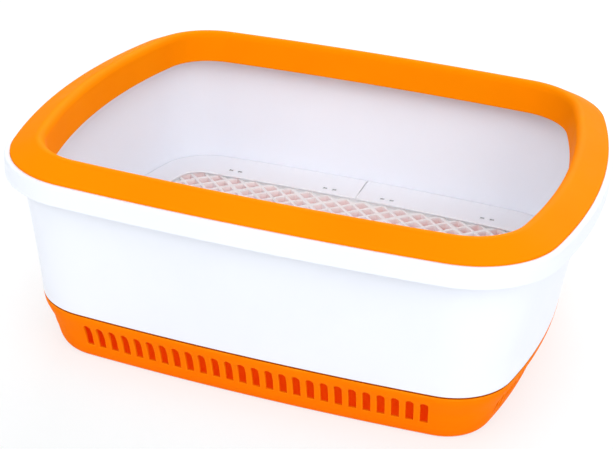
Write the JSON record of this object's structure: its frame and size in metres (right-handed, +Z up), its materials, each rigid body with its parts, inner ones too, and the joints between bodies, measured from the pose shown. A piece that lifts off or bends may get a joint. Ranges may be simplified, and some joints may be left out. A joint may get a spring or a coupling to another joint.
{
  "type": "sieve litter tray",
  "caption": "Open-top litter tray with a slotted base, a high flared tub, a lift-out lattice held by a clamp frame and a sloping rim guard.",
  "frame": {"origin": "on the floor under the middle of the tray", "axes": "+X along the tray's length, +Y from its front to its back, +Z up"},
  "size_m": [0.53, 0.43, 0.2046],
  "materials": {
    "orange_plastic": "satin moulded polypropylene, orange",
    "white_plastic": "satin moulded polypropylene, white",
    "lattice_plastic": "matt moulded polypropylene, white",
    "frame_plastic": "satin moulded polypropylene, white",
    "guard_plastic": "satin moulded polypropylene, orange"
  },
  "bodies": {
    "base": {"base_tray": "orange_plastic"},
    "tub": {"tub": "white_plastic"},
    "guard": {"rim_guard": "guard_plastic"},
    "lattice": {"lattice": "lattice_plastic"},
    "frame_left": {"clamp_frame_left": "frame_plastic"},
    "frame_right": {"clamp_frame_right": "frame_plastic"}
  },
  "joints": [
    {"name": "base_to_tub", "type": "slide", "parent": "base", "child": "tub", "axis": [0, 0, 1], "range_m": [0, 0.12]},
    {"name": "guard_lift", "type": "slide", "parent": "tub", "child": "guard", "axis": [0, 0, 1], "range_m": [0, 0.08]},
    {"name": "lattice_lift", "type": "slide", "parent": "tub", "child": "lattice", "axis": [0, 0, 1], "range_m": [0, 0.08]},
    {"name": "frame_left_lift", "type": "slide", "parent": "lattice", "child": "frame_left", "axis": [0, 0, 1], "range_m": [0, 0.025]},
    {"name": "frame_right_lift", "type": "slide", "parent": "lattice", "child": "frame_right", "axis": [0, 0, 1], "range_m": [0, 0.025]}
  ]
}
